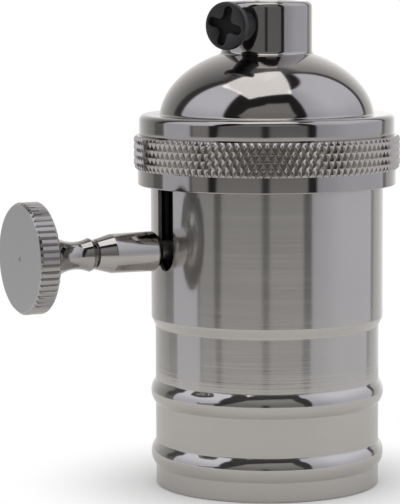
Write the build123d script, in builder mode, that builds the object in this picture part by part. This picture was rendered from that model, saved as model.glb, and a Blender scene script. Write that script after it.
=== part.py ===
"""Turn knob lamp socket: metal shell and cap, rotary switch, and a screw shell for the lamp.

Millimetres. The socket stands on its open rim: z = 0 is the rim plane, Z is its axis, and
the knob points along -X. A reach is a distance from the axis out towards the knob.
"""
from build123d import *
from math import acos, asin, cos, degrees, pi, radians, sin, sqrt
import os

os.makedirs("parts", exist_ok=True)

# Fits
running_gap = 0.05       # round pieces that turn or slide in each other, on the radius
loose_gap = 0.12         # pieces pushed in by hand, on the radius

# Shell
shell_wall = 0.6
shell_step = 0.63        # how much smaller in radius the lower half is
shell_top_z = 52.0
step_top_z = 26.7
step_height = 1.3
step_round = 0.8
bead_width = 3.8
bead_rise = 0.74
lower_bead_z = 4.95
upper_bead_z = 14.85
slot_side_gap = 0.925    # between the spindle and the slot's side, before the slot's turn
slot_drop = 3.2          # from the spindle's axis down to the slot's round end
slot_turn = 2.3          # degrees: the slot's middle stands a little round from the spindle

# Cap
skirt_overlap = 4.3      # how far the cap comes down over the shell
skirt_wall = 1.95
skirt_height = 2.5
skirt_round = 0.2
knurl_stand = 0.62       # how far the knurled band stands out past the skirt
knurl_width = 5.25
knurl_chamfer = 0.4
brim_wall = 1.7
brim_height = 3.3
brim_round = 0.9
dome_inset = 3.13        # the dome's widest ring inside the brim
dome_rise = 11.7
dome_sink = 1.15         # the dome's widest ring lies this far below the brim's top
dome_wall = 1.5
dome_crease_round = 0.35
neck_bore_r = 4.46       # across the crests of an M10 x 1 thread
neck_wall = 2.69
neck_rise = 7.1          # from the dome's full height to the top of the neck
neck_top_round = 0.9
neck_foot_round = 0.7
bore_chamfer = 0.5

# Cord grip screw in the neck
grip_angle = 28.9        # degrees round from the knob
grip_shank_r = 2.45
grip_head_r = 3.7
grip_head_height = 1.3
grip_head_round = 0.35
grip_stand = 3.35        # from the neck out to the back of the head
grip_below_top = 3.65
grip_slot_width = 1.5
grip_slot_rim = 0.55     # left outside the ends of the cross recess
grip_slot_depth = 0.85
grip_slot_round = 0.7
grip_slot_turn = 16.0

# Knob
knob_r = 8.53
knob_width = 3.2
knob_chamfer = 0.38
knob_back_chamfer = 0.2
knob_teeth = 51
tooth_depth = 0.36
tooth_gap_share = 0.62   # share of the pitch that the groove takes
centre_mark_r = 0.55
centre_mark_depth = 0.08
stem_length = 8.85       # from the stem's end to the knob's back
stem_end_r = 2.3
stem_bevel = 0.75
waist_r = 2.12
flare_length = 5.85      # from the waist to the knob's back
flare_edge = 0.65        # the flare's last, straight stretch
flare_edge_rise = 1.32
knob_back_ring = 1.78    # flat ring left on the knob's back

# Sleeve behind the knob
sleeve_gap = 0.35        # between sleeve and knob
sleeve_length = 10.65
sleeve_nose_r = 2.3
sleeve_nose_length = 2.65
sleeve_r = 3.03
sleeve_back_r = 3.12
sleeve_back_bevel = 0.95
sleeve_back_drop = 0.75
sleeve_clear = 0.95      # between the sleeve and the shell

# Spindle and switch
spindle_drop = 14.0      # from the shell's top down to the spindle's axis
spindle_r = 1.5
spindle_flat_depth = 0.4
spindle_in_knob = 7.0
drum_r = 5.0
drum_length = 6.0
drum_reach = 1.0         # inner end of the drum
cam_flat = 3.5           # from the spindle's axis to a flat of the square cam
cam_round = 1.2
cam_length = 5.0
hub_r = 2.7
bridge_thickness = 0.8
bridge_width = 2.6
bridge_eye_r = 3.1
bridge_eye_rim = 1.0
clip_r = 2.7
clip_thickness = 0.6
contact_gap = 0.08       # between the drum and a contact at rest
leaf_thickness = 0.5
leaf_width = 4.0
bend_inside_r = 0.1      # less than the loose gap, so a bend clears the corner that it goes round
contact_offset = 1.2     # how far the straight leaf stands out from where it touches
contact_flat = 1.0       # half the length of the touching stretch
contact_spread = 4.0     # from the spindle's height to where the leaf is straight again
detent_width = 4.0
detent_gap = 0.05
detent_bow = 0.9
detent_bend = 2.0
detent_seat = 0.8        # how far the detent spring's ends go into the chamber's walls

# Switch housing and liner
liner_wall = 0.6
liner_foot_z = 3.0
housing_gap = 0.45       # between housing and liner
flange_overhang = 0.03   # flange past the shell's outside, less than the cap's clearance
flange_thickness = 1.5
chamber_side_gap = 0.97  # between a contact's stem and the chamber's wall
chamber_roof = 8.0       # above the spindle's axis
chamber_floor_gap = 2.0  # below the drum
chamber_inner_gap = 1.5  # past the cam
chamber_outer_wall = 4.4
bearing_depth = 4.0
rib_height = 3.5
rib_thickness = 1.2
rib_end_gap = 2.5        # between a rib's end and the cap's inside
rib_y = 4.2

# Lamp base and screw shell
base_thickness = 3.65
base_inset = 1.0         # base smaller in radius than the housing
screw_shell_gap = 2.58   # free ring between the screw shell's mouth and the liner
thread_crest_r = 12.2    # inside, across the crests of a 27 mm lamp screw
thread_depth = 1.1
thread_pitch = 3.62
thread_round_r = 1.0
screw_sheet = 0.4
mouth_z = 5.0            # the mouth stands this far inside the shell's rim
mouth_height = 2.5
floor_hole_gap = 1.35    # between the tongue's root and the hole in the screw shell's floor

# Centre contact
tongue_width = 4.4
tongue_root = 1.85       # flat root each side of the rivet
tongue_tip_x = 3.2
tongue_lip = 1.6
tongue_lip_rise = 0.6
tongue_drop = 1.5
tongue_gap = 0.35
tongue_hole_gap = 0.2
rivet_r = 1.0
rivet_head_r = 1.7
rivet_head_height = 0.5
rivet_play = 0.3

# Fasteners
shell_rivet_r = 1.1
shell_rivet_head_r = 1.9
shell_rivet_head = 0.6
shell_rivet_inset = 2.3  # inside the thread's crest
terminal_screw_r = 1.5
terminal_head_r = 2.8
terminal_head_height = 1.8
terminal_screw_length = 5.0
driver_slot_width = 0.8
driver_slot_depth = 0.9
clamp_side = 6.0
clamp_thickness = 0.8
core_screw_r = 1.25
core_head_r = 2.3
core_head_height = 1.5
core_screw_angle = 60.0
core_screw_inset = 4.0   # inside the cap's inner wall
core_screw_bite = 2.6
strap_width = 5.0
strap_cover = 1.0        # how deep the strap lies under the housing's side
strap_foot_margin = 0.3
line_clamp_gap = 2.5     # between a clamp plate and the cap's inner wall
neutral_clamp_gap = 1.7
terminal_hole_margin = 0.3

# Places worked out from the sizes above
mouth_r = thread_crest_r + thread_depth + loose_gap
liner_r = mouth_r + screw_sheet + screw_shell_gap + liner_wall
lower_r = liner_r + loose_gap + shell_wall
shell_r = lower_r + shell_step
shoulder_z = shell_top_z + flange_thickness
cap_bottom_z = shell_top_z - skirt_overlap
knurl_bottom_z = cap_bottom_z + skirt_height
knurl_top_z = knurl_bottom_z + knurl_width
brim_top_z = knurl_top_z + brim_height
dome_base_z = brim_top_z - dome_sink
cap_top_z = dome_base_z + dome_rise + neck_rise
cap_bore_r = shell_r + running_gap + flange_overhang
skirt_r = cap_bore_r + skirt_wall
knurl_r = skirt_r + knurl_stand
brim_r = cap_bore_r + brim_wall
dome_r = brim_r - dome_inset
dome_inner_r = dome_r - dome_wall
neck_r = neck_bore_r + neck_wall
grip_head_reach = neck_r + grip_stand + grip_head_height
spindle_z = shell_top_z - spindle_drop
slot_width = 2 * (spindle_r + slot_side_gap)
housing_r = liner_r - liner_wall - housing_gap
chamber_outer = housing_r - chamber_outer_wall
chamber_inner = drum_reach - cam_length - chamber_inner_gap
chamber_bottom_z = spindle_z - drum_r - chamber_floor_gap
chamber_top_z = spindle_z + chamber_roof
base_bottom_z = chamber_bottom_z - base_thickness
screw_floor_z = base_bottom_z - screw_sheet
sleeve_back = shell_r + sleeve_clear
sleeve_nose = sleeve_back + sleeve_length
stem_end_reach = sleeve_nose + sleeve_gap
back_reach = stem_end_reach + stem_length
knob_reach = back_reach + knob_width
waist_reach = back_reach - flare_length
flare_reach = back_reach - flare_edge
flare_back_r = knob_r - knob_back_ring
flare_r = flare_back_r - flare_edge_rise
waist_curve_r = ((flare_reach - waist_reach) ** 2 + (flare_r - waist_r) ** 2) / (2 * (flare_r - waist_r))
grip_z = cap_top_z - grip_below_top
drum_middle = drum_reach + drum_length / 2
contact_y = drum_r + contact_gap
stem_y = contact_y + contact_offset
chamber_half_width = stem_y + leaf_thickness / 2 + chamber_side_gap
leaf_bend = bend_inside_r + leaf_thickness / 2
cam_foot = drum_reach - cam_length
cam_middle = drum_reach - cam_length / 2
clip_foot = chamber_outer - running_gap - clip_thickness
hub_end = clip_foot - running_gap
spindle_foot = chamber_inner - bearing_depth + loose_gap
detent_z = spindle_z + cam_flat + detent_gap + leaf_thickness / 2
detent_end_z = detent_z + detent_bow
line_screw = (-drum_middle, dome_inner_r - clamp_side / 2 - line_clamp_gap)
neutral_screw = (dome_inner_r - clamp_side / 2 - neutral_clamp_gap, 0)
shell_rivet_circle = thread_crest_r - shell_rivet_inset
core_screw_circle = dome_inner_r - core_screw_inset
floor_hole_r = drum_middle + tongue_root + floor_hole_gap
terminal_hole_depth = terminal_screw_length - leaf_thickness - clamp_thickness + terminal_hole_margin
strap_x = housing_r - strap_cover - leaf_thickness / 2
strap_foot_x = shell_rivet_circle - shell_rivet_head_r - strap_foot_margin
tongue_z = base_bottom_z - tongue_gap - leaf_thickness / 2
near = 0.01              # tolerance for picking edges by their place

knob_axis = Axis((0, 0, spindle_z), (-1, 0, 0))
knob_section_plane = Plane(origin=(0, 0, spindle_z), x_dir=(-1, 0, 0), z_dir=(0, 1, 0))


def across(reach):
    """Plane across the spindle at this reach, its normal pointing out to the knob."""
    return Plane(origin=(-reach, 0, spindle_z), x_dir=(0, -1, 0), z_dir=(-1, 0, 0))


def facing(angle, height=0.0):
    """Upright plane through the axis that faces out at this angle round from the knob."""
    turn = radians(180 + angle)
    return Plane(origin=(0, 0, height), x_dir=(-sin(turn), cos(turn), 0), z_dir=(cos(turn), sin(turn), 0))


def ring_edge(part, radius, height):
    """The round edge of a part about Z with this radius at this height."""
    rings = part.edges().filter_by(GeomType.CIRCLE)
    return rings.sort_by(lambda edge: abs(edge.radius - radius) + abs(edge.center().Z - height))[0]


# Shell: a drawn can, made as its filled outside less its filled inside
def shell_section(inset):
    """Half section of the can, filled to the axis, with its outline moved in by inset."""
    foot_r = lower_r - inset
    top_r = shell_r - inset
    bead_curve_r = ((bead_width / 2) ** 2 + bead_rise ** 2) / (2 * bead_rise)
    half = sqrt(bead_rise * (2 * (bead_curve_r - inset) - bead_rise))
    with BuildSketch(Plane.XZ) as section:
        with BuildLine():
            foot = (foot_r, 0)
            for middle in (lower_bead_z, upper_bead_z):
                Line(foot, (foot_r, middle - half))
                crown = (foot_r + bead_rise, middle)
                foot = (foot_r, middle + half)
                ThreePointArc((foot_r, middle - half), crown, foot)
            Polyline(
                foot, (foot_r, step_top_z - step_height), (top_r, step_top_z), (top_r, shell_top_z),
                (0, shell_top_z), (0, 0), (foot_r, 0),
            )
        make_face()
        low, high = step_top_z - step_height - near, step_top_z + near
        fillet(section.vertices().filter_by_position(Axis.Y, low, high), step_round)
    return section.sketch


def slot_section(width):
    """Outline of the spindle's slot, round at its lower end and open past the shell's top."""
    round_z = spindle_z - slot_drop + slot_width / 2
    with BuildSketch(facing(slot_turn)) as section:
        with Locations((0, round_z)):
            Circle(width / 2)
            Rectangle(width, shell_top_z, align=(Align.CENTER, Align.MIN))
    return section.sketch


with BuildPart() as shell:
    revolve(shell_section(0), axis=Axis.Z)
    revolve(shell_section(shell_wall), axis=Axis.Z, mode=Mode.SUBTRACT)
    extrude(slot_section(slot_width), amount=shell_r + shell_wall, mode=Mode.SUBTRACT)
shell.part.label = "shell"
export_step(shell.part, "parts/shell.step")

# Insulating liner: a fibre tube inside the shell, slotted a little wider
with BuildPart() as insulating_liner:
    with BuildSketch(Plane.XY.offset(liner_foot_z)):
        Circle(liner_r)
        Circle(liner_r - liner_wall, mode=Mode.SUBTRACT)
    extrude(amount=shell_top_z - loose_gap - liner_foot_z)
    extrude(slot_section(slot_width + liner_wall), amount=shell_r, mode=Mode.SUBTRACT)
insulating_liner.part.label = "insulating_liner"
export_step(insulating_liner.part, "parts/insulating_liner.step")

# Cap: turned in one piece, with the thread bore through its neck
with BuildPart() as cap:
    with BuildSketch(Plane.XZ):
        with BuildLine():
            brim_turn = degrees(asin(dome_sink / dome_rise))
            neck_turn = degrees(acos(neck_r / dome_r))
            dome = EllipticalCenterArc(
                (0, dome_base_z), dome_r, dome_rise, brim_turn, arc_size=neck_turn - brim_turn
            )
            bore_turn = degrees(acos(neck_bore_r / dome_inner_r))
            ceiling = EllipticalCenterArc(
                (0, dome_base_z), dome_inner_r, dome_rise - dome_wall, 0, arc_size=bore_turn
            )
            Polyline(
                ceiling @ 0, (dome_inner_r, shoulder_z), (cap_bore_r, shoulder_z), (cap_bore_r, cap_bottom_z),
                (skirt_r, cap_bottom_z), (skirt_r, knurl_bottom_z), (knurl_r, knurl_bottom_z),
                (knurl_r, knurl_top_z), (brim_r, knurl_top_z), (brim_r, brim_top_z), dome @ 0,
            )
            Polyline(dome @ 1, (neck_r, cap_top_z), (neck_bore_r, cap_top_z), ceiling @ 1)
        make_face()
    revolve(axis=Axis.Z)
    dome_foot, dome_top = dome @ 0, dome @ 1
    fillet(ring_edge(cap.part, neck_r, cap_top_z), neck_top_round)
    fillet(ring_edge(cap.part, neck_r, dome_top.Z), neck_foot_round)
    fillet(ring_edge(cap.part, dome_foot.X, brim_top_z), dome_crease_round)
    fillet(ring_edge(cap.part, brim_r, brim_top_z), brim_round)
    fillet(ring_edge(cap.part, skirt_r, cap_bottom_z), skirt_round)
    chamfer(ring_edge(cap.part, knurl_r, knurl_top_z), knurl_chamfer)
    chamfer(ring_edge(cap.part, knurl_r, knurl_bottom_z), knurl_chamfer)
    chamfer(ring_edge(cap.part, neck_bore_r, cap_top_z), bore_chamfer)
    with BuildSketch(facing(grip_angle, grip_z)):
        Circle(grip_shank_r + running_gap)
    extrude(amount=grip_head_reach, mode=Mode.SUBTRACT)
cap.part.label = "cap"
export_step(cap.part, "parts/cap.step")

# Cord grip screw: moulded, with a wide cross recess
with BuildPart() as cord_grip_screw:
    grip_face = facing(grip_angle, grip_z).offset(grip_head_reach)
    with BuildSketch(grip_face):
        Circle(grip_head_r)
    extrude(amount=-grip_head_height)
    fillet(cord_grip_screw.edges().filter_by(GeomType.CIRCLE), grip_head_round)
    with BuildSketch(grip_face.offset(-grip_head_height)):
        Circle(grip_shank_r)
    extrude(amount=neck_bore_r + loose_gap - grip_head_reach + grip_head_height)
    with BuildSketch(grip_face) as recess:
        for turn in (0, 90):
            slot_length = 2 * (grip_head_r - grip_slot_rim)
            SlotOverall(slot_length, grip_slot_width, rotation=turn - grip_slot_turn)
        inner_corners = recess.vertices().sort_by_distance((0, 0))[:4]
        fillet(inner_corners, grip_slot_round)
    extrude(amount=-grip_slot_depth, mode=Mode.SUBTRACT)
cord_grip_screw.part.label = "cord_grip_screw"
export_step(cord_grip_screw.part, "parts/cord_grip_screw.step")


# Knob: turned with its waisted stem, then serrated along the rim
def waist_height(reach):
    """Radius of the stem's hollow curve at this reach."""
    return waist_r + waist_curve_r - sqrt(waist_curve_r ** 2 - (reach - waist_reach) ** 2)


with BuildPart() as knob:
    with BuildSketch(knob_section_plane):
        with BuildLine():
            collar = (stem_end_reach + stem_bevel, waist_height(stem_end_reach + stem_bevel))
            ThreePointArc(collar, (waist_reach, waist_r), (flare_reach, flare_r))
            Polyline(
                (flare_reach, flare_r), (back_reach, flare_back_r), (back_reach, knob_r),
                (knob_reach, knob_r), (knob_reach, 0), (stem_end_reach, 0),
                (stem_end_reach, stem_end_r), collar,
            )
        make_face()
    revolve(axis=knob_axis)
    rim = knob.edges().filter_by(GeomType.CIRCLE).filter_by(lambda edge: abs(edge.radius - knob_r) < near)
    chamfer(rim.sort_by(Axis.X)[0], knob_chamfer)
    chamfer(rim.sort_by(Axis.X)[-1], knob_back_chamfer)
    half_groove = tooth_gap_share * pi * knob_r / knob_teeth
    with BuildSketch(across(knob_reach)):
        with PolarLocations(knob_r - tooth_depth, knob_teeth):
            Polygon(
                (0, 0), (2 * tooth_depth, 2 * half_groove), (2 * tooth_depth, -2 * half_groove), align=None
            )
    extrude(amount=-knob_width, mode=Mode.SUBTRACT)
    with BuildSketch(across(knob_reach)):
        Circle(centre_mark_r)
    extrude(amount=-centre_mark_depth, mode=Mode.SUBTRACT)
    with BuildSketch(across(stem_end_reach)):
        Circle(spindle_r)
    extrude(amount=spindle_in_knob, mode=Mode.SUBTRACT)
knob.part.label = "knob"
export_step(knob.part, "parts/knob.step")

# Knob sleeve: a turned bush on the spindle, tapered to the knob and bevelled at the shell
with BuildPart() as knob_sleeve:
    with BuildSketch(knob_section_plane):
        with BuildLine():
            Polyline(
                (sleeve_back, spindle_r), (sleeve_back, sleeve_back_r - sleeve_back_drop),
                (sleeve_back + sleeve_back_bevel, sleeve_back_r),
                (sleeve_nose - sleeve_nose_length, sleeve_r),
                (sleeve_nose, sleeve_nose_r), (sleeve_nose, spindle_r), (sleeve_back, spindle_r),
            )
        make_face()
    revolve(axis=knob_axis)
knob_sleeve.part.label = "knob_sleeve"
export_step(knob_sleeve.part, "parts/knob_sleeve.step")


# Spindle: round in its bearings, with a flat where it drives the rotor
def drive_section(reach):
    """The spindle's round outline with the driving flat, across the spindle at this reach."""
    with BuildSketch(across(reach)) as section:
        Circle(spindle_r)
        with Locations((0, spindle_r - spindle_flat_depth)):
            Rectangle(2 * spindle_r, spindle_r, align=(Align.CENTER, Align.MIN), mode=Mode.SUBTRACT)
    return section.sketch


with BuildPart() as spindle:
    with BuildSketch(across(spindle_foot)):
        Circle(spindle_r)
    extrude(amount=cam_foot - spindle_foot)
    extrude(drive_section(cam_foot), amount=hub_end - cam_foot)
    with BuildSketch(across(hub_end)):
        Circle(spindle_r)
    extrude(amount=stem_end_reach + spindle_in_knob - hub_end)
spindle.part.label = "spindle"
export_step(spindle.part, "parts/spindle.step")

# Spindle clip: a ring that bears on the chamber's outer wall
with BuildPart() as spindle_clip:
    with BuildSketch(across(clip_foot)):
        Circle(clip_r)
        Circle(spindle_r, mode=Mode.SUBTRACT)
    extrude(amount=clip_thickness)
spindle_clip.part.label = "spindle_clip"
export_step(spindle_clip.part, "parts/spindle_clip.step")

# Bridge contact: a stamped bar with an eye, clear of the metal spindle
with BuildPart() as bridge_contact:
    with BuildSketch(across(drum_middle - bridge_thickness / 2)):
        Circle(drum_r)
        Rectangle(2 * drum_r, bridge_width, mode=Mode.INTERSECT)
        Circle(bridge_eye_r)
        Circle(bridge_eye_r - bridge_eye_rim, mode=Mode.SUBTRACT)
    extrude(amount=bridge_thickness)
bridge_contact.part.label = "bridge_contact"
export_step(bridge_contact.part, "parts/bridge_contact.step")

# Switch rotor: drum, square detent cam and hub, moulded around the bridge
with BuildPart() as switch_rotor:
    with BuildSketch(across(cam_foot)):
        RectangleRounded(2 * cam_flat, 2 * cam_flat, cam_round)
    extrude(amount=cam_length)
    with BuildSketch(across(drum_reach)):
        Circle(drum_r)
    extrude(amount=drum_length)
    with BuildSketch(across(drum_reach + drum_length)):
        Circle(hub_r)
    extrude(amount=hub_end - drum_reach - drum_length)
    extrude(drive_section(cam_foot), amount=hub_end - cam_foot, mode=Mode.SUBTRACT)
    add(bridge_contact.part, mode=Mode.SUBTRACT)
switch_rotor.part.label = "switch_rotor"
export_step(switch_rotor.part, "parts/switch_rotor.step")

# Switch housing: one moulding that hangs by its flange from the shell's top edge
with BuildPart() as switch_housing:
    with BuildSketch(Plane.XY.offset(chamber_bottom_z)):
        Circle(housing_r)
    extrude(amount=shell_top_z - chamber_bottom_z)
    with BuildSketch(Plane.XY.offset(shell_top_z)):
        Circle(cap_bore_r - running_gap)
    extrude(amount=flange_thickness)
    with BuildSketch(Plane.XY.offset(shoulder_z)):
        with Locations((0, rib_y)):
            Rectangle(2 * (dome_inner_r - rib_end_gap), rib_thickness)
    extrude(amount=rib_height)
    with BuildSketch(Plane.XY.offset(chamber_bottom_z)):
        with Locations((-(chamber_outer + chamber_inner) / 2, 0)):
            Rectangle(chamber_outer - chamber_inner, 2 * chamber_half_width)
    extrude(amount=chamber_top_z - chamber_bottom_z, mode=Mode.SUBTRACT)
    with BuildSketch(Plane.XY.offset(chamber_bottom_z)):
        with Locations((-cam_middle, 0)):
            Rectangle(detent_width + 2 * loose_gap, 2 * (chamber_half_width + detent_seat))
    extrude(amount=detent_end_z + leaf_thickness - chamber_bottom_z, mode=Mode.SUBTRACT)
    with BuildSketch(across(chamber_inner - bearing_depth)):
        Circle(spindle_r + running_gap)
    extrude(amount=housing_r - chamber_inner + bearing_depth, mode=Mode.SUBTRACT)
    with BuildSketch(Plane.XY.offset(chamber_top_z)):
        with Locations((-drum_middle, stem_y)):
            Rectangle(leaf_width + 2 * loose_gap, leaf_thickness + 2 * loose_gap)
    extrude(amount=shoulder_z - chamber_top_z, mode=Mode.SUBTRACT)
    with BuildSketch(Plane.XY.offset(chamber_bottom_z)):
        with Locations((strap_x - leaf_thickness / 2 - loose_gap, 0)):
            Rectangle(housing_r, strap_width + 2 * loose_gap, align=(Align.MIN, Align.CENTER))
        Circle(housing_r, mode=Mode.INTERSECT)
    extrude(amount=shoulder_z - chamber_bottom_z, mode=Mode.SUBTRACT)
    with BuildSketch(Plane.XY.offset(shoulder_z)):
        with Locations(line_screw, neutral_screw):
            Circle(terminal_screw_r)
    extrude(amount=-terminal_hole_depth, mode=Mode.SUBTRACT)
    with BuildSketch(Plane.XY.offset(shoulder_z)):
        with PolarLocations(core_screw_circle, 2, start_angle=core_screw_angle):
            Circle(core_screw_r + loose_gap)
    extrude(amount=chamber_bottom_z - shoulder_z, mode=Mode.SUBTRACT)
    with BuildSketch(Plane.XY.offset(chamber_bottom_z)):
        with PolarLocations(shell_rivet_circle, 2):
            Circle(shell_rivet_head_r + loose_gap)
    extrude(amount=shell_rivet_head + loose_gap, mode=Mode.SUBTRACT)
switch_housing.part.label = "switch_housing"
export_step(switch_housing.part, "parts/switch_housing.step")

# Line contact: from its tab under the terminal screw down through the roof to the drum
with BuildPart() as line_contact:
    with BuildSketch(Plane.YZ.offset(-drum_middle - leaf_width / 2)):
        with BuildLine():
            FilletPolyline(
                (line_screw[1] + clamp_side / 2, shoulder_z + leaf_thickness / 2),
                (stem_y, shoulder_z + leaf_thickness / 2),
                (stem_y, spindle_z + contact_spread),
                (contact_y + leaf_thickness / 2, spindle_z + contact_flat),
                (contact_y + leaf_thickness / 2, spindle_z - contact_flat),
                (stem_y, spindle_z - contact_spread),
                radius=leaf_bend,
            )
        trace(line_width=leaf_thickness)
    extrude(amount=leaf_width)
    with BuildSketch(Plane.XY.offset(shoulder_z)):
        with Locations(line_screw):
            Circle(terminal_screw_r)
    extrude(amount=leaf_thickness, mode=Mode.SUBTRACT)
line_contact.part.label = "line_contact"
export_step(line_contact.part, "parts/line_contact.step")

# Lamp contact: from the drum's other side down to its foot on the lamp base
with BuildPart() as lamp_contact:
    with BuildSketch(Plane.YZ.offset(-drum_middle - leaf_width / 2)):
        with BuildLine():
            FilletPolyline(
                (-stem_y, spindle_z + contact_spread),
                (-contact_y - leaf_thickness / 2, spindle_z + contact_flat),
                (-contact_y - leaf_thickness / 2, spindle_z - contact_flat),
                (-stem_y, spindle_z - contact_spread),
                (-stem_y, chamber_bottom_z + leaf_thickness / 2),
                (rivet_head_r, chamber_bottom_z + leaf_thickness / 2),
                radius=leaf_bend,
            )
        trace(line_width=leaf_thickness)
    extrude(amount=leaf_width)
    with BuildSketch(Plane.XY.offset(chamber_bottom_z)):
        with Locations((-drum_middle, 0)):
            Circle(rivet_r)
    extrude(amount=leaf_thickness, mode=Mode.SUBTRACT)
lamp_contact.part.label = "lamp_contact"
export_step(lamp_contact.part, "parts/lamp_contact.step")

# Detent spring: a bowed leaf whose ends sit in the chamber's walls, on the square cam
with BuildPart() as detent_spring:
    with BuildSketch(Plane.YZ.offset(-cam_middle - detent_width / 2)):
        with BuildLine():
            end_y = chamber_half_width + detent_seat - loose_gap
            FilletPolyline(
                (-end_y, detent_end_z), (-cam_flat, detent_z), (cam_flat, detent_z), (end_y, detent_end_z),
                radius=detent_bend,
            )
        trace(line_width=leaf_thickness)
    extrude(amount=detent_width)
detent_spring.part.label = "detent_spring"
export_step(detent_spring.part, "parts/detent_spring.step")

# Lamp base: disc under the housing, recessed for the neutral strap's foot
with BuildPart() as lamp_base:
    with BuildSketch(Plane.XY.offset(base_bottom_z)):
        Circle(housing_r - base_inset)
        with PolarLocations(shell_rivet_circle, 2):
            Circle(shell_rivet_r, mode=Mode.SUBTRACT)
        with Locations((-drum_middle, 0)):
            Circle(rivet_r, mode=Mode.SUBTRACT)
    extrude(amount=base_thickness)
    with BuildSketch(Plane.XY.offset(chamber_bottom_z)):
        with PolarLocations(core_screw_circle, 2, start_angle=core_screw_angle):
            Circle(core_screw_r)
    extrude(amount=-core_screw_bite, mode=Mode.SUBTRACT)
    with BuildSketch(Plane.XY.offset(base_bottom_z)):
        with Locations((strap_foot_x - loose_gap, 0)):
            Rectangle(housing_r, strap_width + 2 * loose_gap, align=(Align.MIN, Align.CENTER))
    extrude(amount=leaf_thickness, mode=Mode.SUBTRACT)
    with BuildSketch(Plane.XY.offset(base_bottom_z)):
        with Locations((strap_x - leaf_thickness / 2 - loose_gap, 0)):
            Rectangle(housing_r, strap_width + 2 * loose_gap, align=(Align.MIN, Align.CENTER))
    extrude(amount=base_thickness, mode=Mode.SUBTRACT)
lamp_base.part.label = "lamp_base"
export_step(lamp_base.part, "parts/lamp_base.step")

# Neutral strap: from its tab on the housing down a groove and under the lamp base
with BuildPart() as neutral_strap:
    with BuildSketch(Plane.XZ.offset(-strap_width / 2)):
        with BuildLine():
            FilletPolyline(
                (neutral_screw[0] - clamp_side / 2, shoulder_z + leaf_thickness / 2),
                (strap_x, shoulder_z + leaf_thickness / 2),
                (strap_x, base_bottom_z + leaf_thickness / 2),
                (strap_foot_x, base_bottom_z + leaf_thickness / 2),
                radius=leaf_bend,
            )
        trace(line_width=leaf_thickness)
    extrude(amount=strap_width)
    with BuildSketch(Plane.XY.offset(shoulder_z)):
        with Locations(neutral_screw):
            Circle(terminal_screw_r)
    extrude(amount=leaf_thickness, mode=Mode.SUBTRACT)
    with BuildSketch(Plane.XY.offset(base_bottom_z)):
        with Locations((shell_rivet_circle, 0)):
            Circle(shell_rivet_r)
    extrude(amount=leaf_thickness, mode=Mode.SUBTRACT)
neutral_strap.part.label = "neutral_strap"
export_step(neutral_strap.part, "parts/neutral_strap.step")


# Screw shell: rolled sheet with a helical thread inside and out, and a floor on the base
def screw_body(inset):
    """Half section of the screw shell, filled to the axis, with its outline moved in by inset."""
    wall_r = thread_crest_r + screw_sheet - inset
    lip_r = mouth_r + screw_sheet - inset
    with BuildSketch(Plane.XZ) as section:
        with BuildLine():
            Polyline(
                (0, mouth_z), (lip_r, mouth_z), (lip_r, mouth_z + mouth_height),
                (wall_r, mouth_z + mouth_height + thread_depth), (wall_r, base_bottom_z - inset),
                (0, base_bottom_z - inset), (0, mouth_z),
            )
        make_face()
    return section.sketch


with BuildPart() as screw_shell:
    ridge_r = thread_round_r + screw_sheet
    ridge_foot_z = mouth_z + mouth_height + thread_depth + ridge_r
    ridge_rise = screw_floor_z - ridge_r - ridge_foot_z
    with BuildLine() as thread_path:
        path_r = thread_crest_r + thread_depth - thread_round_r
        Helix(thread_pitch, ridge_rise, path_r, center=(0, 0, ridge_foot_z))
    revolve(screw_body(0), axis=Axis.Z)
    path_start = Plane(thread_path.line @ 0, z_dir=thread_path.line % 0)
    with BuildSketch(path_start):
        Circle(ridge_r)
    sweep(path=thread_path.line, is_frenet=True)
    revolve(screw_body(screw_sheet), axis=Axis.Z, mode=Mode.SUBTRACT)
    with BuildSketch(path_start):
        Circle(thread_round_r)
    sweep(path=thread_path.line, is_frenet=True, mode=Mode.SUBTRACT)
    with BuildSketch(Plane.XY.offset(screw_floor_z)):
        Circle(floor_hole_r)
        with PolarLocations(shell_rivet_circle, 2):
            Circle(shell_rivet_r)
    extrude(amount=screw_sheet, mode=Mode.SUBTRACT)
screw_shell.part.label = "screw_shell"
export_step(screw_shell.part, "parts/screw_shell.step")

# Centre contact: a sprung tongue that slopes down from its rivet to meet the lamp's tip
with BuildPart() as centre_contact:
    with BuildSketch(Plane.XZ.offset(-tongue_width / 2)):
        with BuildLine():
            FilletPolyline(
                (-drum_middle - tongue_root, tongue_z), (-drum_middle + tongue_root, tongue_z),
                (tongue_tip_x - tongue_lip, tongue_z - tongue_drop),
                (tongue_tip_x, tongue_z - tongue_drop + tongue_lip_rise),
                radius=leaf_bend,
            )
        trace(line_width=leaf_thickness)
    extrude(amount=tongue_width)
    with BuildSketch(Plane.XY.offset(base_bottom_z)):
        with Locations((-drum_middle, 0)):
            Circle(rivet_r + tongue_hole_gap)
    extrude(amount=-base_thickness, mode=Mode.SUBTRACT)
centre_contact.part.label = "centre_contact"
export_step(centre_contact.part, "parts/centre_contact.step")

# Centre rivet: holds the tongue below the base and the lamp contact above it
with BuildPart() as centre_rivet:
    rivet_seat_z = tongue_z - leaf_thickness / 2 - rivet_play
    with BuildSketch(Plane.XY.offset(rivet_seat_z - rivet_head_height)):
        with Locations((-drum_middle, 0)):
            Circle(rivet_head_r)
    extrude(amount=rivet_head_height)
    with BuildSketch(Plane.XY.offset(rivet_seat_z)):
        with Locations((-drum_middle, 0)):
            Circle(rivet_r)
    extrude(amount=chamber_bottom_z + leaf_thickness - rivet_seat_z)
    with BuildSketch(Plane.XY.offset(chamber_bottom_z + leaf_thickness)):
        with Locations((-drum_middle, 0)):
            Circle(rivet_head_r)
    extrude(amount=rivet_head_height)
centre_rivet.part.label = "centre_rivet"
export_step(centre_rivet.part, "parts/centre_rivet.step")

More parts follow.
